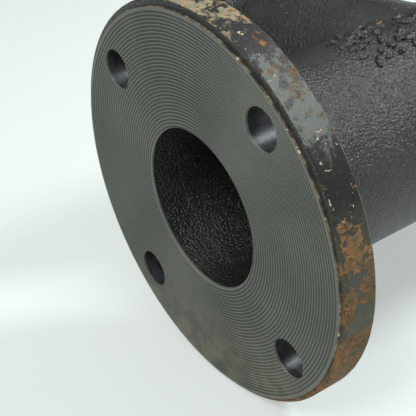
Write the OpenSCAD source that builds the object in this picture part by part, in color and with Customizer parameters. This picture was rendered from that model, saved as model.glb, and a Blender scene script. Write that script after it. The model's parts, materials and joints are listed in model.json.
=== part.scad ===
// Flanged pipe tee, cast iron, with flat turned faces.
// Run along +X, branch along +Y, all three axes level, +Z up.
// The origin is the centre of the near flange's face.

/* [Reach] */
// Distance from the near or the far face to the tee's centre
run_reach = 139.7; // [125:0.1:200]
// Distance from the branch face to the tee's centre
branch_reach = 139.7; // [125:0.1:200]

/* [Bore and wall] */
// Diameter of the waterway
bore_d = 76.2; // [60:0.1:92]
// Thickness of the cast wall
wall = 11; // [6:0.1:14]

/* [Flanges] */
// Outside diameter of each flange
flange_d = 190.5; // [180:0.1:230]
// Thickness of each flange, turned face included
flange_t = 16.5; // [12:0.1:24]
// Chamfer round the rim, front and back
rim_chamfer = 1.2; // [0.4:0.1:2]
// Fillet between a flange's back and its barrel
hub_fillet = 9; // [4:0.5:12]

/* [Turned faces] */
// Height of the turned face above the cast plate
facing_t = 1; // [0.5:0.1:2]
// Cast ledge left round the turned face
facing_ledge = 2.6; // [1.6:0.1:5]
// How far the near face was turned off the casting's centre, downwards
near_drop = 0.77; // [0:0.01:1.2]
// How far the near face was turned off the casting's centre, towards the branch
near_side = 0.61; // [0:0.01:1.2]

/* [Bolt holes] */
// Diameter of each bolt hole
bolt_hole_d = 19.05; // [14:0.05:24]
// Metal left between a bolt hole and the rim
bolt_land = 9.525; // [6:0.005:12]
// Number of bolt holes in each flange
bolt_count = 4; // [4:4:8]

/* [Casting marks] */
// Height of the raised marks above the body
mark_height = 2; // [1:0.1:3]
// Width across one raised mark
mark_w = 8; // [6:0.5:9]
// Distance between neighbouring marks
mark_pitch = 10; // [10:0.5:12]
// How far the field of marks lies from the tee's centre, towards the near end
mark_offset = 22; // [0:1:22]
// How far the middle of the field is turned from the top towards the front, in degrees
mark_turn = 6; // [0:1:10]

/* [Hidden] */
$fn = 96;

// Length by which a cutter runs past what it cuts
past = 1;
bore_r = bore_d / 2;
barrel_r = bore_r + wall;
flange_r = flange_d / 2;
facing_r = flange_r - facing_ledge;
bolt_circle_r = flange_r - bolt_land - bolt_hole_d / 2;
hub_end = flange_t + hub_fillet;
// Plain length that the centre body keeps past the crossing tube
body_neck = 8;
body_half = barrel_r + body_neck;
// Steps in a quarter of a hub fillet
fillet_steps = 8;
// Rows round the run and columns along it in the field of raised marks
mark_rows = 4;
mark_cols = 7;
// The marks are small caps of large balls, so they and their cutters need finer arcs.
mark_fn = 240;
near_shift = [near_drop, near_side];
centred = [0, 0];

// An end is drawn with its face at z = 0 and the body behind it at +z, and then put in its place.
module at_near() {
    rotate([0, 90, 0]) children();
}

module at_far() {
    translate([2 * run_reach, 0, 0]) rotate([0, -90, 0]) children();
}

module at_branch() {
    translate([run_reach, branch_reach, 0]) rotate([90, 0, 0]) children();
}

// The holes straddle the fitting's centre lines.
module bolt_holes() {
    for (i = [0 : bolt_count - 1])
        rotate([0, 0, (i + 0.5) * 360 / bolt_count])
            translate([bolt_circle_r, 0, -past])
                cylinder(h = flange_t + 2 * past, d = bolt_hole_d);
}

// The cast plate, behind the turned face
module flange_plate() {
    difference() {
        rotate_extrude()
            polygon([
                [bore_r, facing_t],
                [flange_r - rim_chamfer, facing_t],
                [flange_r, facing_t + rim_chamfer],
                [flange_r, flange_t - rim_chamfer],
                [flange_r - rim_chamfer, flange_t],
                [bore_r, flange_t]
            ]);
        bolt_holes();
    }
}

// The turned gasket face. Its centre may lie off the bore by the given shift.
module turned_face(shift) {
    difference() {
        translate([shift.x, shift.y, 0]) cylinder(h = facing_t, r = facing_r);
        translate([0, 0, -past]) cylinder(h = facing_t + 2 * past, r = bore_r);
        bolt_holes();
    }
}

// A ring with a hollow quarter round between the flange's back and the barrel
module hub_ring() {
    rotate_extrude()
        polygon(concat(
            [[bore_r, flange_t]],
            [for (i = [0 : fillet_steps])
                let (a = 90 * i / fillet_steps)
                [barrel_r + hub_fillet * (1 - sin(a)), hub_end - hub_fillet * cos(a)]],
            [[bore_r, hub_end]]
        ));
}

// The straight tube from the hub to the centre body
module barrel_tube(reach) {
    difference() {
        translate([0, 0, hub_end]) cylinder(h = reach - body_half - hub_end, r = barrel_r);
        translate([0, 0, hub_end - past])
            cylinder(h = reach - body_half - hub_end + 2 * past, r = bore_r);
    }
}

module near_flange() { color("dimgray") at_near() flange_plate(); }
module far_flange() { color("dimgray") at_far() flange_plate(); }
module branch_flange() { color("dimgray") at_branch() flange_plate(); }

module near_facing() { color("slategray") at_near() turned_face(near_shift); }
module far_facing() { color("slategray") at_far() turned_face(centred); }
module branch_facing() { color("slategray") at_branch() turned_face(centred); }

module near_hub() { color([0.16, 0.16, 0.17]) at_near() hub_ring(); }
module far_hub() { color([0.16, 0.16, 0.17]) at_far() hub_ring(); }
module branch_hub() { color([0.16, 0.16, 0.17]) at_branch() hub_ring(); }

module near_barrel() { color([0.13, 0.13, 0.14]) at_near() barrel_tube(run_reach); }
module far_barrel() { color([0.13, 0.13, 0.14]) at_far() barrel_tube(run_reach); }
module branch_barrel() { color([0.13, 0.13, 0.14]) at_branch() barrel_tube(branch_reach); }

// The crossing of run and branch, up to where the three barrels start
module tee_body() {
    color([0.12, 0.12, 0.13])
        difference() {
            union() {
                translate([run_reach - body_half, 0, 0]) rotate([0, 90, 0])
                    cylinder(h = 2 * body_half, r = barrel_r);
                translate([run_reach, 0, 0]) rotate([-90, 0, 0])
                    cylinder(h = body_half, r = barrel_r);
            }
            translate([run_reach - body_half - past, 0, 0]) rotate([0, 90, 0])
                cylinder(h = 2 * body_half + 2 * past, r = bore_r);
            translate([run_reach, 0, 0]) rotate([-90, 0, 0])
                cylinder(h = body_half + past, r = bore_r);
        }
}

// Raised round lumps over the top of the centre body. Each is a ball's cap on the barrel.
module casting_marks() {
    cap_r = (pow(mark_w / 2, 2) + pow(mark_height, 2)) / (2 * mark_height);
    color([0.15, 0.14, 0.14])
        difference() {
            for (col = [0 : mark_cols - 1], row = [0 : mark_rows - 1])
                translate([run_reach - mark_offset + (col - (mark_cols - 1) / 2) * mark_pitch, 0, 0])
                    rotate([mark_turn + (row - (mark_rows - 1) / 2) * mark_pitch / barrel_r * 180 / PI, 0, 0])
                        translate([0, 0, barrel_r + mark_height - cap_r])
                            sphere(r = cap_r, $fn = mark_fn);
            rotate([0, 90, 0])
                cylinder(h = 2 * run_reach, r = barrel_r, $fn = mark_fn);
            translate([run_reach, 0, 0]) rotate([-90, 0, 0])
                cylinder(h = body_half, r = barrel_r, $fn = mark_fn);
        }
}

near_flange();
near_facing();
near_hub();
near_barrel();
far_flange();
far_facing();
far_hub();
far_barrel();
branch_flange();
branch_facing();
branch_hub();
branch_barrel();
tee_body();
casting_marks();
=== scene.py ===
"""Looks for the flanged pipe tee: turned gasket faces, rusted rims and a rough painted casting."""
import json
import math

import bmesh
import bpy
import numpy as np
from mathutils import Matrix, Vector


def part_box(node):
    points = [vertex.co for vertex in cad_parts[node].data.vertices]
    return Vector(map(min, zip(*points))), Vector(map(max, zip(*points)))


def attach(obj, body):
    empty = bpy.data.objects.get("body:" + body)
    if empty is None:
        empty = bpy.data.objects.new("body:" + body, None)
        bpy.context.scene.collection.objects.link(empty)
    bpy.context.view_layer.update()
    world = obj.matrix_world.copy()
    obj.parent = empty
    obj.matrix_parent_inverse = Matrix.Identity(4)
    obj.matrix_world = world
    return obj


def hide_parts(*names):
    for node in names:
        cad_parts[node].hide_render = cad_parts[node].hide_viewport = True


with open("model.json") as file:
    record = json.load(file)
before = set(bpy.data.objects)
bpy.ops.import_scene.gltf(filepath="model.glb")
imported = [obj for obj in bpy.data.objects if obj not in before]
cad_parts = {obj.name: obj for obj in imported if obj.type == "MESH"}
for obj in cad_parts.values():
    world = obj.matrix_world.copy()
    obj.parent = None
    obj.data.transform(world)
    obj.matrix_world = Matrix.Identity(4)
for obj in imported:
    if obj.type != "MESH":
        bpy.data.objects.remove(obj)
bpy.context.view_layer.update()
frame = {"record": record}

MM = 0.001
BODY = "root"
ENDS = ("near", "far", "branch")

# ---------------------------------------------------------------- sizes from the frame
near_low, near_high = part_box("near_flange")
facing_low, facing_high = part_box("near_facing")
barrel_low, barrel_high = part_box("near_barrel")
hub_low, hub_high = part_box("near_hub")
_, far_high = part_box("far_facing")
_, branch_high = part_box("branch_facing")
mounts = {m["name"]: m for m in frame["record"]["mounts"]}

FLANGE_R = (near_high.z - near_low.z) / 2
FACING_R = (facing_high.z - facing_low.z) / 2
FACING_T = facing_high.x - facing_low.x
FLANGE_T = near_high.x
NEAR_SHIFT = ((facing_high.y + facing_low.y) / 2, (facing_high.z + facing_low.z) / 2)
BARREL_R = (barrel_high.z - barrel_low.z) / 2
BORE_R = mounts["run_bore"]["dims"]["r_mm"] * MM
BOLT_R = mounts["near_bolts"]["dims"]["pcd_mm"] / 2 * MM
HOLE_R = mounts["near_bolts"]["dims"]["hole_r_mm"] * MM
HOLE_COUNT = mounts["near_bolts"]["dims"]["count"]
RUN_END = far_high.x
CENTRE_X = RUN_END / 2
BRANCH_END = branch_high.y
HUB_FILLET = hub_high.x - hub_low.x
FLOOR_Z = near_low.z

# ---------------------------------------------------------------- the turned faces
GROOVE_PITCH = 1.5875 * MM
GROOVE_DEPTH = 0.30 * MM
MOUTH_CHAMFER = 0.25 * MM
FACING_CHAMFER = 0.3 * MM
GROOVES_INSIDE = 0.9 * MM
GROOVES_OUTSIDE = 0.8 * MM
# Width of the face's outer band, painted as wear and as a painted highlight along the edge.
FACING_EDGE_WEAR_AND_HIGHLIGHT = 0.75 * MM
FACING_SHARP_DEG = 12
HOLE_SEGMENTS = 96
DRILL_OVERRUN = 4 * MM
AROUND = 360

# ---------------------------------------------------------------- the flange plates
RIM_EDGE = 1.2 * MM
RIM_LINES = 0.80 * MM
RIM_BAND = 1.5 * MM
PLATE_AROUND = 480
PLATE_ROUGHNESS = 0.7
PLATE_SINK = 0.15 * MM
HOLE_MARGIN = 0.2 * MM
MOUTH_BAND = 1.5 * MM
CORNER_ANGLES = np.radians([22, 45, 68])

# ---------------------------------------------------------------- the cast body
CROTCH_BLEND = 17 * MM
SEAM_BLEND = 1.5 * MM
BORE_BLEND = 6 * MM
LEAST_BLEND = 0.01 * MM
HUB_BLEND = HUB_FILLET * 1.7
BRANCH_FADE = 0.6
HUB_START = 3 * MM
BORE_OVERRUN = 5 * MM
VOXEL = 1.25 * MM
SKIN_PASSES = 6
SLOPE_STEP = 0.05 * MM
BORE_ROUGHNESS = 0.7
BORE_SINK = 0.1 * MM
TUBE_SEGMENTS = 128
BODY_SHARP_DEG = 70

# ---------------------------------------------------------------- the casting marks
MARK_COLS = 11
MARK_ROWS = 6
MARK_GAPS = 0.22
MARK_SCATTER = 0.25
MARK_APART = 9.7
MARK_LIFT = 0.1 * MM
MARK_SEED = 11
MARK_SHARP_DEG = 80

# ---------------------------------------------------------------- stage, light and camera values
FLOOR_SIZE = 9.0
FLOOR_GAP = 0.3 * MM
FLOOR_GLOW = 0.46
ROOM_DARK = 0.03
ROOM_LIGHT = 0.85
ROOM_DARK_UP_TO = 0.25
ROOM_LIGHT_FROM = 0.85
KEY_AT = (-0.75, -0.45, 1.10)
KEY_SIZE = 0.60
KEY_POWER = 12.0
SIDE_AT = (0.86, -0.34, 0.88)
SIDE_SIZE = 0.42
SIDE_POWER = 14.5
LENS_MM = 88.25
SENSOR_MM = 36.0
CAMERA_NEAREST = 0.01
CAMERA_AT = (-0.2045, -0.34412, 0.21116)
CAMERA_RIGHT = (0.80838, -0.57326, -0.13381)
CAMERA_UP = (0.36872, 0.31589, 0.87422)

# An end's own axes: its face at z = 0 and the body behind it at +z.
PLACES = {
    "near": Matrix.Rotation(math.radians(90), 4, "Y"),
    "far": Matrix.Translation((RUN_END, 0, 0)) @ Matrix.Rotation(math.radians(-90), 4, "Y"),
    "branch": Matrix.Translation((CENTRE_X, BRANCH_END, 0)) @ Matrix.Rotation(math.radians(90), 4, "X"),
}


# ---------------------------------------------------------------- noise on points
def lattice(ix, iy, iz, seed):
    """A repeatable random value from 0 to 1 for each whole-number point."""
    h = (ix * 374761393 + iy * 668265263 + iz * 2147483647 + seed * 974634777) & 0xFFFFFFFF
    h = ((h ^ (h >> 13)) * 1274126177) & 0xFFFFFFFF
    return ((h ^ (h >> 16)) & 0xFFFFFF) / float(0xFFFFFF)


def smooth_noise(points, size, seed):
    """Value noise from -1 to 1, with features about size across."""
    p = points / size
    base = np.floor(p).astype(np.int64)
    f = p - base
    f = f * f * (3 - 2 * f)
    total = np.zeros(len(points))
    for dx in (0, 1):
        for dy in (0, 1):
            for dz in (0, 1):
                w = ((f[:, 0] if dx else 1 - f[:, 0])
                     * (f[:, 1] if dy else 1 - f[:, 1])
                     * (f[:, 2] if dz else 1 - f[:, 2]))
                total += w * lattice(base[:, 0] + dx, base[:, 1] + dy, base[:, 2] + dz, seed)
    return total * 2 - 1


def casting_height(points):
    """How far the sand-cast skin stands in or out, in metres."""
    waves = 0.22 * MM * smooth_noise(points, 17 * MM, 3)
    lumps = 0.09 * MM * smooth_noise(points, 6.5 * MM, 5)
    pebbles = 0.11 * MM * smooth_noise(points, 2.3 * MM, 7)
    return waves + lumps + pebbles


# ---------------------------------------------------------------- mesh helpers
def mesh_object(name, verts, faces):
    """A new object in the scene from points and faces."""
    mesh = bpy.data.meshes.new(name)
    mesh.from_pydata([tuple(v) for v in verts], [], faces)
    mesh.validate()
    mesh.update()
    obj = bpy.data.objects.new(name, mesh)
    bpy.context.scene.collection.objects.link(obj)
    return obj


def read_points(obj):
    flat = np.empty(len(obj.data.vertices) * 3)
    obj.data.vertices.foreach_get("co", flat)
    return flat.reshape(-1, 3)


def write_points(obj, points):
    obj.data.vertices.foreach_set("co", points.reshape(-1))
    obj.data.update()


def apply_modifier(obj, kind, **settings):
    """Replaces an object's mesh with what one modifier makes of it."""
    modifier = obj.modifiers.new(kind.lower(), kind)
    for key, value in settings.items():
        setattr(modifier, key, value)
    bpy.context.view_layer.update()
    graph = bpy.context.evaluated_depsgraph_get()
    mesh = bpy.data.meshes.new_from_object(obj.evaluated_get(graph))
    old = obj.data
    obj.modifiers.clear()
    obj.data = mesh
    bpy.data.meshes.remove(old)


def revolve(name, profile, shift=(0, 0), keep_inner=0, around=AROUND):
    """A closed ring turned from a closed profile of (radius, height) points.
    The first keep_inner points stay centred on the axis, and the shift moves the others off it."""
    profile = np.array(profile)
    angles = np.linspace(0, 2 * math.pi, around, endpoint=False)
    n = len(profile)
    ring = np.zeros((around, n, 3))
    ring[:, :, 0] = profile[None, :, 0] * np.cos(angles)[:, None]
    ring[:, :, 1] = profile[None, :, 0] * np.sin(angles)[:, None]
    ring[:, :, 2] = profile[None, :, 1]
    moved = np.arange(n) >= keep_inner
    ring[:, moved, 0] += shift[0]
    ring[:, moved, 1] += shift[1]
    faces = []
    for a in range(around):
        b = (a + 1) % around
        for i in range(n):
            j = (i + 1) % n
            faces.append((a * n + i, b * n + i, b * n + j, a * n + j))
    return mesh_object(name, ring.reshape(-1, 3), faces)


def cut_bolt_holes(obj, bottom, top):
    """Drills the bolt holes, which straddle the centre lines, in an end's own axes."""
    cutters = bmesh.new()
    for i in range(HOLE_COUNT):
        a = (i + 0.5) * 2 * math.pi / HOLE_COUNT
        place = Matrix.Translation((BOLT_R * math.cos(a), BOLT_R * math.sin(a), (bottom + top) / 2))
        bmesh.ops.create_cone(cutters, cap_ends=True, segments=HOLE_SEGMENTS,
                              radius1=HOLE_R, radius2=HOLE_R,
                              depth=(top - bottom) + DRILL_OVERRUN, matrix=place)
    mesh = bpy.data.meshes.new("hole_cutter")
    cutters.to_mesh(mesh)
    cutters.free()
    cutter = bpy.data.objects.new("hole_cutter", mesh)
    bpy.context.scene.collection.objects.link(cutter)
    apply_modifier(obj, "BOOLEAN", operation="DIFFERENCE", object=cutter, solver="MANIFOLD")
    bpy.data.objects.remove(cutter)
    bpy.data.meshes.remove(mesh)


def face_outwards(obj):
    work = bmesh.new()
    work.from_mesh(obj.data)
    bmesh.ops.recalc_face_normals(work, faces=work.faces)
    work.to_mesh(obj.data)
    work.free()


def shade(obj, material, sharp_deg=35):
    """Gives an object its first material, and smooth shading up to an angle."""
    obj.data.materials.clear()
    obj.data.materials.append(material)
    obj.data.shade_smooth()
    obj.data.set_sharp_from_angle(angle=math.radians(sharp_deg))


def put(obj, end):
    """Moves a mesh from an end's own axes to its place on the tee."""
    obj.data.transform(PLACES[end])
    obj.data.update()


# ---------------------------------------------------------------- node material helpers
class Nodes:
    """A small wrapper that keeps node set-up short."""

    def __init__(self, name):
        self.material = bpy.data.materials.new(name)
        self.material.use_nodes = True
        self.tree = self.material.node_tree
        self.shader = self.tree.nodes["Principled BSDF"]
        self.coords = self.tree.nodes.new("ShaderNodeTexCoord").outputs["Object"]

    def add(self, kind, inputs=None, **settings):
        node = self.tree.nodes.new(kind)
        for key, value in settings.items():
            setattr(node, key, value)
        for key, value in (inputs or {}).items():
            self.feed(node.inputs[key], value)
        return node

    def feed(self, socket, value):
        if isinstance(value, bpy.types.NodeSocket):
            self.tree.links.new(value, socket)
        else:
            socket.default_value = value

    def noise(self, scale, detail=4.0, rough=0.55):
        """Noise with about scale features to a metre."""
        return self.add("ShaderNodeTexNoise", {
            "Vector": self.coords, "Scale": scale, "Detail": detail, "Roughness": rough,
        }).outputs["Fac"]

    def math(self, operation, a, b=0.0, clamp=False):
        return self.add("ShaderNodeMath", {0: a, 1: b}, operation=operation, use_clamp=clamp).outputs[0]

    def step(self, value, low, high):
        """0 at low, 1 at high, smooth between. High may be the smaller of the two."""
        return self.add("ShaderNodeMapRange", {"Value": value, "From Min": low, "From Max": high},
                        interpolation_type="SMOOTHSTEP").outputs["Result"]

    def mix(self, amount, a, b):
        """A colour that goes from a to b."""
        node = self.add("ShaderNodeMix", data_type="RGBA")
        self.feed(node.inputs[0], amount)
        self.feed(node.inputs[6], a)
        self.feed(node.inputs[7], b)
        return node.outputs[2]

    def blend(self, amount, a, b):
        """A number that goes from a to b."""
        node = self.add("ShaderNodeMix", data_type="FLOAT")
        self.feed(node.inputs[0], amount)
        self.feed(node.inputs[2], a)
        self.feed(node.inputs[3], b)
        return node.outputs[0]

    def bump(self, height, distance, strength=1.0, normal=None):
        inputs = {"Height": height, "Distance": distance, "Strength": strength}
        if normal is not None:
            inputs["Normal"] = normal
        return self.add("ShaderNodeBump", inputs).outputs["Normal"]

    def split(self):
        return self.add("ShaderNodeSeparateXYZ", {"Vector": self.coords}).outputs


def rgb(r, g, b):
    return (r, g, b, 1.0)


def toned(colour, tone):
    """A colour made darker or lighter."""
    return rgb(*(c * tone for c in colour[:3]))


PAINT = rgb(0.012, 0.0125, 0.0115)
PAINT_WORN = rgb(0.024, 0.0255, 0.023)
BARE_IRON = rgb(0.185, 0.195, 0.172)
RUST_DARK = rgb(0.105, 0.052, 0.022)
RUST_LIGHT = rgb(0.250, 0.118, 0.042)
RUST_PALE = rgb(0.340, 0.230, 0.120)
DUST = rgb(0.060, 0.060, 0.050)
OLIVE = rgb(0.082, 0.076, 0.042)
HOLE_LIGHT = rgb(0.052, 0.058, 0.061)
HOLE_DARK = rgb(0.018, 0.020, 0.020)
# How much darker the grooves are painted: painted shade in the grooves.
GROOVE_SHADE = 0.50
BODY_SPECKS = 0.640
MARK_SPECKS = 0.585
MOSS_BLACK = rgb(0.047, 0.051, 0.033)
ASH = rgb(0.165, 0.155, 0.130)
BARE_DARK = rgb(0.085, 0.092, 0.084)
KHAKI = rgb(0.200, 0.185, 0.120)
CREAM = rgb(0.62, 0.54, 0.36)
FACE_GREY = rgb(0.094, 0.101, 0.085)
FACE_LIGHT = rgb(0.158, 0.168, 0.142)
FLOOR_COLOUR = rgb(0.36, 0.38, 0.362)
FLOOR_GLOW_COLOUR = rgb(0.93, 1.0, 0.965)
ROOM_COLOUR = rgb(0.93, 0.98, 1.0)
BACKDROP_COLOUR = rgb(0.80, 0.88, 0.86)
WHITE_LIGHT = (1.0, 1.0, 1.0)
COOL_LIGHT = (0.92, 0.97, 1.0)


def cast_paint(name, speck_level):
    """Glossy black paint over a sand casting: a fine pebble with glints, rust specks and dull hollows."""
    n = Nodes(name)
    pebble = n.add("ShaderNodeTexVoronoi", {"Vector": n.coords, "Scale": 820.0}, feature="F1")
    grain = n.noise(2100.0, 4.0, 0.6)
    broad = n.noise(38.0, 4.0, 0.55)
    specks = n.step(n.noise(330.0, 4.0, 0.7), speck_level, speck_level + 0.035)
    few = n.step(n.noise(30.0, 3.0, 0.6), 0.50, 0.60)
    rust = n.math("MULTIPLY", specks, few)
    dust = n.mix(n.step(n.noise(900.0, 4.0, 0.65), 0.46, 0.66), PAINT, PAINT_WORN)
    dust = n.mix(n.math("MULTIPLY", n.step(broad, 0.52, 0.74), 0.20), dust, DUST)
    n.feed(n.shader.inputs["Base Color"], n.mix(rust, dust, RUST_LIGHT))
    shine = n.blend(n.step(broad, 0.35, 0.65), 0.22, 0.36)
    n.feed(n.shader.inputs["Roughness"], n.blend(rust, shine, 0.85))
    n.shader.inputs["Specular IOR Level"].default_value = 0.6
    cells = n.math("MULTIPLY", pebble.outputs["Distance"], 0.6)
    lumps = n.math("ADD", n.noise(900.0, 3.0, 0.6), cells)
    n.feed(n.shader.inputs["Normal"], n.bump(grain, 0.06 * MM, 1.0, n.bump(lumps, 0.75 * MM, 1.0)))
    return n.material


def drilled_iron():
    """A drilled hole's wall: smooth grey metal with a thin dark film."""
    n = Nodes("drilled_iron")
    film = n.noise(120.0, 4.0, 0.6)
    fine = n.noise(900.0, 3.0, 0.6)
    base = n.mix(n.step(film, 0.40, 0.62), HOLE_LIGHT, HOLE_DARK)
    n.feed(n.shader.inputs["Base Color"], n.mix(n.step(fine, 0.62, 0.72), base, RUST_DARK))
    n.shader.inputs["Metallic"].default_value = 0.45
    n.feed(n.shader.inputs["Roughness"], n.blend(fine, 0.34, 0.50))
    n.feed(n.shader.inputs["Normal"], n.bump(fine, 0.12 * MM, 0.7))
    return n.material


def worn_edge_and_highlight():
    """A corner rubbed bare in places: brown and cream between stretches of black paint. Along edges, the
    cream also stands in for the light the edge catches: partly wear, partly a painted highlight.
    """
    n = Nodes("worn_edge_and_highlight")
    patches = n.noise(85.0, 5.0, 0.65)
    fine = n.noise(420.0, 5.0, 0.7)
    rubbed = n.mix(n.step(fine, 0.40, 0.60), RUST_DARK, KHAKI)
    rubbed = n.mix(n.step(n.noise(190.0, 4.0, 0.65), 0.60, 0.66), rubbed, CREAM)
    n.feed(n.shader.inputs["Base Color"], n.mix(n.step(patches, 0.44, 0.54), PAINT_WORN, rubbed))
    n.feed(n.shader.inputs["Roughness"], n.blend(fine, 0.5, 0.8))
    n.feed(n.shader.inputs["Normal"], n.bump(fine, 0.3 * MM, 1.0))
    return n.material


def rim_paint(pipe):
    """A flange's cast edge and back: black paint, worn to turned metal high up and rusted below.
    The zones go by height, with a ragged border from the noise."""
    n = Nodes("rim_paint_" + pipe)
    x, y, z = n.split()
    along = y if pipe == "branch" else x
    ragged = n.noise(48.0, 7.0, 0.72)
    fine = n.noise(300.0, 6.0, 0.72)
    level = n.math("MULTIPLY", z, 1.0 / FLANGE_R)
    waver = n.math("MULTIPLY", n.math("SUBTRACT", ragged, 0.5), 0.55)
    waver = n.math("ADD", waver, n.math("MULTIPLY", n.math("SUBTRACT", fine, 0.5), 0.35))
    high = n.math("ADD", level, waver)
    grit = n.noise(1200.0, 4.0, 0.7)
    # Rust: all over near the floor, in ragged patches at mid height, in streaks above.
    low_zone = n.step(high, -0.28, -0.36)
    mid_zone = n.step(high, 0.60, 0.34)
    edge = n.math("ADD", ragged, n.math("MULTIPLY", n.math("SUBTRACT", fine, 0.5), 0.30))
    patches = n.math("MULTIPLY", mid_zone, n.step(edge, 0.500, 0.520))
    streaks = n.math("MULTIPLY", n.step(high, 0.72, 0.78), n.step(high, 0.97, 0.90))
    streaks = n.math("MULTIPLY", streaks, n.step(n.noise(130.0, 6.0, 0.75), 0.555, 0.58))
    few = n.step(n.math("ADD", n.math("MULTIPLY", ragged, 0.5), n.math("MULTIPLY", fine, 0.6)), 0.63, 0.66)
    low_rust = n.math("MULTIPLY", low_zone, n.step(fine, 0.32, 0.38))
    broad_rust = n.math("MAXIMUM", low_rust, patches)
    rust = n.math("MAXIMUM", broad_rust, n.math("MAXIMUM", streaks, few), clamp=True)
    # Bare turned metal high up, with the tool's fine lines round the rim.
    worn = n.math("MULTIPLY", n.step(high, 0.50, 0.58), n.step(high, 0.86, 0.80))
    worn = n.math("MULTIPLY", worn, n.step(n.noise(140.0, 6.0, 0.7), 0.40, 0.50))
    lines = n.math("SINE", n.math("MULTIPLY", along, 2 * math.pi / RIM_LINES))
    khaki = n.step(high, 0.955, 0.985)
    rust_colour = n.mix(n.step(fine, 0.34, 0.66), RUST_DARK, RUST_LIGHT)
    rust_colour = n.mix(n.math("MULTIPLY", n.step(grit, 0.52, 0.7), 0.5), rust_colour, RUST_PALE)
    old = n.noise(95.0, 5.0, 0.65)
    rust_colour = n.mix(n.math("MULTIPLY", n.step(old, 0.46, 0.60), 0.75), rust_colour, OLIVE)
    base = n.mix(n.step(grit, 0.50, 0.72), PAINT, PAINT_WORN)
    base = n.mix(n.math("MULTIPLY", n.step(high, 0.30, 0.12), 0.85), base, MOSS_BLACK)
    base = n.mix(worn, base, n.mix(n.step(lines, -0.2, 0.9), BARE_DARK, BARE_IRON))
    base = n.mix(khaki, base, n.mix(n.step(fine, 0.46, 0.62), KHAKI, RUST_PALE))
    ash = n.math("MULTIPLY", n.step(n.noise(620.0, 4.0, 0.7), 0.52, 0.60), low_zone)
    rust_colour = n.mix(n.math("MULTIPLY", ash, 0.55), rust_colour, ASH)
    base = n.mix(rust, base, rust_colour)
    chips = n.math("MULTIPLY", n.step(n.noise(330.0, 5.0, 0.72), 0.635, 0.665), n.step(high, -0.1, 0.5))
    n.feed(n.shader.inputs["Base Color"], n.mix(chips, base, CREAM))
    rough = n.blend(worn, n.blend(grit, 0.34, 0.55), 0.50)
    n.feed(n.shader.inputs["Roughness"], n.blend(rust, rough, 0.95))
    n.shader.inputs["Specular IOR Level"].default_value = 0.32
    turned = n.bump(n.math("MULTIPLY", lines, worn), 0.12 * MM, 0.8)
    flaky = n.bump(n.math("ADD", n.math("MULTIPLY", rust, 0.7), fine), 0.22 * MM, 1.0, turned)
    n.feed(n.shader.inputs["Normal"], n.bump(grit, 0.05 * MM, 0.9, flaky))
    return n.material


def turned_iron(name, tone):
    """A turned gasket face, stained towards the bottom. The grooves are in the mesh; a darker-toned copy of
    this material paints shade in them.
    """
    n = Nodes(name)
    mottle = n.noise(26.0, 3.0, 0.5)
    fine = n.noise(1300.0, 4.0, 0.6)
    z = n.split()["Z"]
    soft = n.math("ADD", n.math("MULTIPLY", mottle, 0.35), n.math("MULTIPLY", fine, 0.65))
    base = n.mix(n.step(soft, 0.35, 0.65), toned(FACE_GREY, tone), toned(FACE_LIGHT, tone))
    stain = n.math("MULTIPLY", n.step(z, -45 * MM, -85 * MM), n.step(n.noise(75.0, 4.0, 0.6), 0.4, 0.62))
    base = n.mix(n.math("MULTIPLY", stain, 0.55), base, KHAKI)
    speck = n.step(n.noise(420.0, 3.0, 0.6), 0.70, 0.74)
    n.feed(n.shader.inputs["Base Color"], n.mix(n.math("MULTIPLY", speck, 0.6), base, RUST_DARK))
    n.shader.inputs["Metallic"].default_value = 0.25
    n.feed(n.shader.inputs["Roughness"], n.blend(n.step(fine, 0.3, 0.7), 0.42, 0.62))
    n.shader.inputs["Specular IOR Level"].default_value = 0.45
    n.feed(n.shader.inputs["Normal"], n.bump(fine, 0.07 * MM, 0.6))
    return n.material


def studio_white(name, colour, glow):
    """A pale matt sheet with a glow of its own, as on a light table."""
    n = Nodes(name)
    faint = n.noise(3.0, 2.0, 0.4)
    n.feed(n.shader.inputs["Base Color"], n.mix(faint, colour, toned(colour, 1.02)))
    n.shader.inputs["Roughness"].default_value = 0.5
    n.shader.inputs["Specular IOR Level"].default_value = 0.2
    n.shader.inputs["Emission Color"].default_value = FLOOR_GLOW_COLOUR
    n.shader.inputs["Emission Strength"].default_value = glow
    return n.material


# ---------------------------------------------------------------- the three ends
def facing_profile():
    """The turned face's section, with grooves from the bore to the rim and a flat back.
    Also says how many of its points belong to the bore's mouth."""
    mouth = [(BORE_R, FACING_T), (BORE_R, MOUTH_CHAMFER), (BORE_R + MOUTH_CHAMFER, 0.0)]
    points = list(mouth)
    start = BORE_R + GROOVES_INSIDE
    count = int((FACING_R - GROOVES_OUTSIDE - start) / GROOVE_PITCH)
    for i in range(count):
        r = start + i * GROOVE_PITCH
        points += [(r, 0.0), (r + 0.18 * GROOVE_PITCH, GROOVE_DEPTH),
                   (r + 0.42 * GROOVE_PITCH, GROOVE_DEPTH), (r + 0.60 * GROOVE_PITCH, 0.0)]
    points += [(FACING_R - FACING_CHAMFER, 0.0), (FACING_R, FACING_CHAMFER), (FACING_R, FACING_T)]
    return points, len(mouth)


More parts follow.
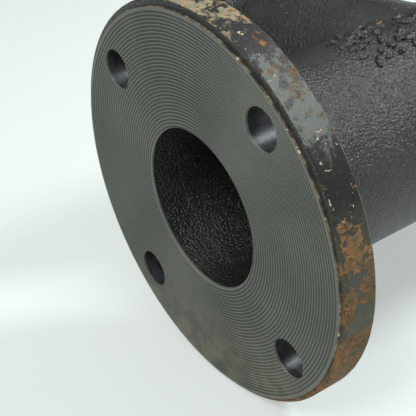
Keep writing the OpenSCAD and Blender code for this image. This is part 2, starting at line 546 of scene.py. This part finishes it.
def make_facing(end, material, groove_shade_material, edge_material):
    """One end's turned face. The near one was turned slightly off the bore's axis."""
    points, mouth_count = facing_profile()
    shift = (-NEAR_SHIFT[1], NEAR_SHIFT[0]) if end == "near" else (0, 0)
    ring = revolve(end + "_turned_face", points, shift, mouth_count)
    face_outwards(ring)
    cut_bolt_holes(ring, 0, FACING_T)
    shade(ring, material, FACING_SHARP_DEG)
    ring.data.materials.append(groove_shade_material)
    ring.data.materials.append(edge_material)
    # The groove floors and walls take the darker copy of the turned face: painted shade in the grooves.
    for face in ring.data.polygons:
        r = math.hypot(face.center.x - shift[0], face.center.y - shift[1])
        in_groove = 0.3 * GROOVE_DEPTH < face.center.z < 1.01 * GROOVE_DEPTH
        # The outer band by the rim takes the worn-edge material: partly wear, partly a painted highlight
        # along the edge.
        if r > FACING_R - FACING_EDGE_WEAR_AND_HIGHLIGHT:
            face.material_index = 2
        elif in_groove and r > BORE_R + 1.0 * MM:
            face.material_index = 1
    put(ring, end)
    return ring


def plate_profile():
    """The cast plate's section, with rounded rim corners and enough points for a rough skin."""
    points = [(r, FACING_T) for r in np.linspace(BORE_R, FLANGE_R - 4.5 * MM, 8)]
    points += [(r, FACING_T) for r in np.linspace(FLANGE_R - 4 * MM, FLANGE_R - RIM_EDGE, 4)]
    for a in CORNER_ANGLES:
        points.append((FLANGE_R - RIM_EDGE * (1 - math.sin(a)), FACING_T + RIM_EDGE * (1 - math.cos(a))))
    points += [(FLANGE_R, z) for z in np.linspace(FACING_T + RIM_EDGE, FLANGE_T - RIM_EDGE, 16)]
    for a in CORNER_ANGLES:
        points.append((FLANGE_R - RIM_EDGE * (1 - math.cos(a)), FLANGE_T - RIM_EDGE * (1 - math.sin(a))))
    points += [(r, FLANGE_T) for r in np.linspace(FLANGE_R - RIM_EDGE, BORE_R, 44)]
    points += [(BORE_R, z) for z in np.linspace(FLANGE_T, FACING_T, 14)[1:-1]]
    return points


def roughen_plate(plate, end):
    """Gives a placed plate's rim, back and bore the casting's skin, and leaves it in the end's own axes.
    The seat under the turned face stays flat."""
    placed = read_points(plate)
    local = np.c_[placed, np.ones(len(placed))] @ np.array(PLACES[end].inverted()).T
    z = local[:, 2]
    radius = np.hypot(local[:, 0], local[:, 1])
    on_rim = (radius > FLANGE_R - RIM_BAND) & (z > FACING_T + 0.2 * MM)
    on_back = (z > FLANGE_T - 0.05 * MM) & (radius < FLANGE_R - RIM_BAND)
    in_bore = radius < BORE_R + 0.1 * MM
    between = (z > FACING_T + 0.1 * MM) & (z < FLANGE_T - 0.1 * MM)
    outwards = local[:, :2] / radius[:, None]
    normal = np.zeros_like(local[:, :3])
    normal[on_rim, :2] = outwards[on_rim]
    normal[on_back & ~in_bore, 2] = 1
    normal[in_bore & between, :2] = -outwards[in_bore & between]
    height = casting_height(placed) * PLATE_ROUGHNESS - PLATE_SINK
    local[:, :3] += normal * height[:, None]
    write_points(plate, local[:, :3])


def off_hole_wall(point):
    """How far a point is from the nearest wall of the four bolt holes, in an end's own axes."""
    hole_xy = BOLT_R * math.sqrt(0.5)
    return abs(math.hypot(abs(point.x) - hole_xy, abs(point.y) - hole_xy) - HOLE_R)


def plate_region(point, end):
    """Which material a plate has at a point: 0 rim paint, 1 cast paint, 2 drilled iron, 3 worn edge with a
    painted highlight.
    """
    r = math.hypot(point.x, point.y)
    if off_hole_wall(point) < HOLE_MARGIN:
        return 2
    on_ledge = point.z < FACING_T + 0.35 * RIM_EDGE
    high_up = (PLACES[end] @ point).z > 0.3 * FLANGE_R
    if r < BORE_R + MOUTH_BAND or on_ledge and high_up:
        return 1
    # The back corner takes the worn-edge material: wear, and a painted highlight where the edge catches the
    # light.
    if r > FLANGE_R - 0.9 * RIM_EDGE and point.z > FLANGE_T - 0.8 * RIM_EDGE:
        return 3
    return 0


def make_plate(end, materials):
    """One end's cast plate. Its materials are in the order that plate_region gives."""
    plate = revolve(end + "_flange_plate", plate_profile(), around=PLATE_AROUND)
    put(plate, end)
    roughen_plate(plate, end)
    face_outwards(plate)
    cut_bolt_holes(plate, FACING_T, FLANGE_T)
    shade(plate, materials[0])
    for extra in materials[1:]:
        plate.data.materials.append(extra)
    for face in plate.data.polygons:
        face.material_index = plate_region(face.center, end)
    put(plate, end)
    return plate


# ---------------------------------------------------------------- the cast body
def tube_primitive(name, start, end, radius):
    """A solid round bar from one point to another."""
    axis = Vector(end) - Vector(start)
    work = bmesh.new()
    turn = axis.to_track_quat("Z", "Y").to_matrix().to_4x4()
    place = Matrix.Translation((Vector(start) + Vector(end)) / 2) @ turn
    bmesh.ops.create_cone(work, cap_ends=True, segments=TUBE_SEGMENTS, radius1=radius, radius2=radius,
                          depth=axis.length, matrix=place)
    mesh = bpy.data.meshes.new(name)
    work.to_mesh(mesh)
    work.free()
    obj = bpy.data.objects.new(name, mesh)
    bpy.context.scene.collection.objects.link(obj)
    return obj


def combine(obj, operation, tubes):
    """Adds tubes to an object or cuts them from it, and removes them."""
    for tube in tubes:
        apply_modifier(obj, "BOOLEAN", operation=operation, object=tube, solver="MANIFOLD")
        bpy.data.objects.remove(tube)


def smooth_min(a, b, k):
    """The smaller of two distances, rounded off where they are within k of each other."""
    h = np.maximum(k - np.abs(a - b), 0) / k
    return np.minimum(a, b) - h * h * k / 4


def tube_distances(p, radius):
    """Distance outside the run's tube and the branch's, and a share that grows towards the branch.
    The share is 0 at the run's front, which has no crotch, and 1 well over to the branch's side."""
    run = np.hypot(p[:, 1], p[:, 2]) - radius
    branch = np.hypot(p[:, 0] - CENTRE_X, p[:, 2]) - radius
    # The branch tube stops at the run's axis.
    branch = np.where(p[:, 1] < 0, np.maximum(branch, run), branch)
    side = np.clip(p[:, 1] / (BRANCH_FADE * radius), 0, 1)
    return run, branch, side


def outer_distance(p):
    """Distance outside the casting's skin: both tubes, blended with each other and with the flanges."""
    run, branch, side = tube_distances(p, BARREL_R)
    # The crotch's fillet fades out towards the top and bottom, where the tubes run level.
    level = np.clip(np.abs(p[:, 2]) / BARREL_R, 0, 1)
    skin = smooth_min(run, branch, CROTCH_BLEND * side * (1 - level ** 2) + SEAM_BLEND * side + LEAST_BLEND)
    for gap in (p[:, 0] - FLANGE_T, RUN_END - FLANGE_T - p[:, 0], BRANCH_END - FLANGE_T - p[:, 1]):
        skin = smooth_min(skin, gap, HUB_BLEND)
    return skin


def bore_distance(p):
    """Distance outside the waterway."""
    run, branch, side = tube_distances(p, BORE_R)
    return smooth_min(run, branch, BORE_BLEND * side + LEAST_BLEND)


def slope(distance, p):
    """The direction in which a distance grows fastest at each point."""
    grad = np.empty_like(p)
    for axis in range(3):
        move = np.zeros(3)
        move[axis] = SLOPE_STEP
        grad[:, axis] = distance(p + move) - distance(p - move)
    return grad / np.maximum(np.linalg.norm(grad, axis=1), 1e-12)[:, None]


def body_blank():
    """The body as plain tubes with thick ends and open bores, in a mesh of even squares."""
    run_back = RUN_END - FLANGE_T
    branch_back = BRANCH_END - FLANGE_T
    blank = tube_primitive("cast_body", (FLANGE_T, 0, 0), (run_back, 0, 0), BARREL_R)
    solids = [tube_primitive("branch_tube", (CENTRE_X, 0, 0), (CENTRE_X, branch_back, 0), BARREL_R)]
    hubs = (((FLANGE_T, 0, 0), (FLANGE_T + HUB_START, 0, 0)),
            ((run_back, 0, 0), (run_back - HUB_START, 0, 0)),
            ((CENTRE_X, branch_back, 0), (CENTRE_X, branch_back - HUB_START, 0)))
    flare = HUB_FILLET * 0.9
    for start, end in hubs:
        solids.append(tube_primitive("hub", start, end, BARREL_R + flare * 0.6))
    combine(blank, "UNION", solids)
    bores = [
        tube_primitive("run_bore", (-BORE_OVERRUN, 0, 0), (RUN_END + BORE_OVERRUN, 0, 0), BORE_R),
        tube_primitive("branch_bore", (CENTRE_X, 0, 0), (CENTRE_X, BRANCH_END + BORE_OVERRUN, 0), BORE_R),
    ]
    combine(blank, "DIFFERENCE", bores)
    apply_modifier(blank, "REMESH", mode="VOXEL", voxel_size=VOXEL)
    return blank


def make_body(material):
    """The cast body: its blank's points are drawn onto the true skin and waterway, then roughened."""
    body = body_blank()
    p = read_points(body)
    inside = np.abs(bore_distance(p)) < np.abs(outer_distance(p))
    for _ in range(SKIN_PASSES):
        p_out = p - slope(outer_distance, p) * outer_distance(p)[:, None]
        p_in = p - slope(bore_distance, p) * bore_distance(p)[:, None]
        p = np.where(inside[:, None], p_in, p_out)
    rough = casting_height(p)
    outward = slope(outer_distance, p) * rough[:, None]
    inward = -slope(bore_distance, p) * (rough * BORE_ROUGHNESS - BORE_SINK)[:, None]
    p = p + np.where(inside[:, None], inward, outward)
    # The ends stay between the flanges.
    p[:, 0] = np.clip(p[:, 0], FLANGE_T, RUN_END - FLANGE_T)
    p[:, 1] = np.minimum(p[:, 1], BRANCH_END - FLANGE_T)
    write_points(body, p)
    shade(body, material, BODY_SHARP_DEG)
    return body


# ---------------------------------------------------------------- the casting marks
def unit_ball():
    """The points and triangles of a ball with a radius of 1."""
    ball = bmesh.new()
    bmesh.ops.create_icosphere(ball, subdivisions=4, radius=1.0)
    points = np.array([v.co for v in ball.verts])
    triangles = [[v.index for v in f.verts] for f in ball.faces]
    ball.free()
    return points, triangles


def lump(ball, number, radii, turn):
    """A ball bent out of round by its own stretch of noise, then sized and turned."""
    places = ball + MARK_APART * number
    bent = 0.34 * smooth_noise(places, 0.8, 23) + 0.24 * smooth_noise(places, 0.35, 29)
    bent += 0.10 * smooth_noise(places, 0.16, 31)
    points = ball * (1 + bent)[:, None] * np.array(radii)
    spin = np.array([[math.cos(turn), -math.sin(turn), 0],
                     [math.sin(turn), math.cos(turn), 0],
                     [0, 0, 1]])
    return points @ spin.T


def on_barrel(points, x, angle):
    """Moves a lump onto the run's skin, at an angle from the top towards the branch."""
    out = np.array([0, math.sin(angle), math.cos(angle)])
    across = np.array([0, math.cos(angle), -math.sin(angle)])
    along = np.array([1.0, 0, 0])
    centre = np.array([x, 0, 0]) + out * (BARREL_R + MARK_LIFT)
    return centre + points[:, :1] * along + points[:, 1:2] * across + points[:, 2:] * out


def make_marks(material):
    """Worn raised casting marks on top of the body: uneven short lumps, and not letters.
    The width of the CAD marks' box is laid round the skin as a length of arc."""
    rng = np.random.default_rng(MARK_SEED)
    low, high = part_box("casting_marks")
    ball, triangles = unit_ball()
    verts, faces = [], []
    for col in range(MARK_COLS):
        for row in range(MARK_ROWS):
            if rng.random() < MARK_GAPS:
                continue
            x_cell = col + 0.5 + rng.uniform(-MARK_SCATTER, MARK_SCATTER)
            arc_cell = row + 0.5 + rng.uniform(-MARK_SCATTER, MARK_SCATTER)
            turn = rng.uniform(-0.4, 1.3)
            long_r = rng.uniform(2.2, 4.8) * MM
            wide_r = rng.uniform(1.1, 2.6) * MM
            tall = rng.uniform(1.1, 2.0) * MM
            points = lump(ball, col * MARK_ROWS + row, (long_r, wide_r, tall), turn)
            x = low.x + (high.x - low.x) * x_cell / MARK_COLS
            arc = low.y + (high.y - low.y) * arc_cell / MARK_ROWS
            first = len(ball) * len(verts)
            verts.append(on_barrel(points, x, arc / BARREL_R))
            faces += [[first + i for i in triangle] for triangle in triangles]
    marks = mesh_object("casting_marks_rough", np.concatenate(verts), faces)
    shade(marks, material, MARK_SHARP_DEG)
    return marks


# ---------------------------------------------------------------- stage, light and camera
def make_stage():
    """A wide pale floor just under the tee's lowest point."""
    size = FLOOR_SIZE
    corners = [(-size, -size, 0), (size, -size, 0), (size, size, 0), (-size, size, 0)]
    floor = mesh_object("studio_floor", corners, [(0, 1, 2, 3)])
    floor.location = (CENTRE_X, 0, FLOOR_Z - FLOOR_GAP)
    floor.data.materials.append(studio_white("floor_white", FLOOR_COLOUR, FLOOR_GLOW))


def add_area(name, location, size, power, colour):
    """A round area light that faces the middle of the run."""
    data = bpy.data.lights.new(name, "AREA")
    data.shape = "DISK"
    data.size = size
    data.energy = power
    data.color = colour
    light = bpy.data.objects.new(name, data)
    light.location = location
    aim = Vector((CENTRE_X, 0, 0)) - Vector(location)
    light.rotation_euler = aim.to_track_quat("-Z", "Y").to_euler()
    bpy.context.scene.collection.objects.link(light)


def make_world():
    """A room that is bright overhead and dark towards the horizon, for the paint to reflect.
    The camera itself sees a plain pale backdrop instead, wherever the floor ends."""
    world = bpy.data.worlds.new("studio")
    bpy.context.scene.world = world
    world.use_nodes = True
    tree = world.node_tree
    coords = tree.nodes.new("ShaderNodeTexCoord")
    split = tree.nodes.new("ShaderNodeSeparateXYZ")
    ramp = tree.nodes.new("ShaderNodeMapRange")
    ramp.interpolation_type = "SMOOTHSTEP"
    ramp.inputs["From Min"].default_value = ROOM_DARK_UP_TO
    ramp.inputs["From Max"].default_value = ROOM_LIGHT_FROM
    ramp.inputs["To Min"].default_value = ROOM_DARK
    ramp.inputs["To Max"].default_value = ROOM_LIGHT
    background = tree.nodes["Background"]
    background.inputs["Color"].default_value = ROOM_COLOUR
    tree.links.new(coords.outputs["Generated"], split.inputs[0])
    tree.links.new(split.outputs["Z"], ramp.inputs["Value"])
    tree.links.new(ramp.outputs["Result"], background.inputs["Strength"])
    backdrop = tree.nodes.new("ShaderNodeBackground")
    backdrop.inputs["Color"].default_value = BACKDROP_COLOUR
    seen = tree.nodes.new("ShaderNodeLightPath")
    both = tree.nodes.new("ShaderNodeMixShader")
    tree.links.new(seen.outputs["Is Camera Ray"], both.inputs[0])
    tree.links.new(background.outputs[0], both.inputs[1])
    tree.links.new(backdrop.outputs[0], both.inputs[2])
    tree.links.new(both.outputs[0], tree.nodes["World Output"].inputs["Surface"])


def make_light():
    """Two round lights above the tee, one on each side of the camera's view."""
    make_world()
    add_area("key", KEY_AT, KEY_SIZE, KEY_POWER, WHITE_LIGHT)
    add_area("side", SIDE_AT, SIDE_SIZE, SIDE_POWER, COOL_LIGHT)
    bpy.context.scene.view_settings.view_transform = "Standard"


def make_camera():
    """The photo's view, from in front of the near flange and above it."""
    data = bpy.data.cameras.new("view")
    data.lens = LENS_MM
    data.sensor_width = SENSOR_MM
    data.clip_start = CAMERA_NEAREST
    camera = bpy.data.objects.new("view", data)
    right = Vector(CAMERA_RIGHT)
    up = Vector(CAMERA_UP)
    back = right.cross(up)
    turn = Matrix((right, up, back)).transposed().to_4x4()
    camera.matrix_world = Matrix.Translation(CAMERA_AT) @ turn
    bpy.context.scene.collection.objects.link(camera)
    bpy.context.scene.camera = camera


# ---------------------------------------------------------------- build
make_camera()
make_light()
make_stage()
paint = cast_paint("cast_paint", BODY_SPECKS)
mark_paint = cast_paint("cast_paint_marks", MARK_SPECKS)
rims = {"near": rim_paint("run"), "far": rim_paint("run"), "branch": rim_paint("branch")}
turned = turned_iron("turned_iron", 1.0)
# A darker copy of the turned face, which paints shade in its grooves.
grooves = turned_iron("turned_iron_groove_shade", GROOVE_SHADE)
holes = drilled_iron()
# Worn edges with a painted highlight along them.
edges = worn_edge_and_highlight()

for end in ENDS:
    face = make_facing(end, turned, grooves, edges)
    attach(face, BODY)
    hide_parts(end + "_facing")
    plate = make_plate(end, (rims[end], paint, holes, edges))
    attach(plate, BODY)
    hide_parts(end + "_flange")

body = make_body(paint)
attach(body, BODY)
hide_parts("near_hub", "near_barrel", "far_hub", "far_barrel",
            "branch_hub", "branch_barrel", "tee_body")

marks = make_marks(mark_paint)
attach(marks, BODY)
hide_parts("casting_marks")
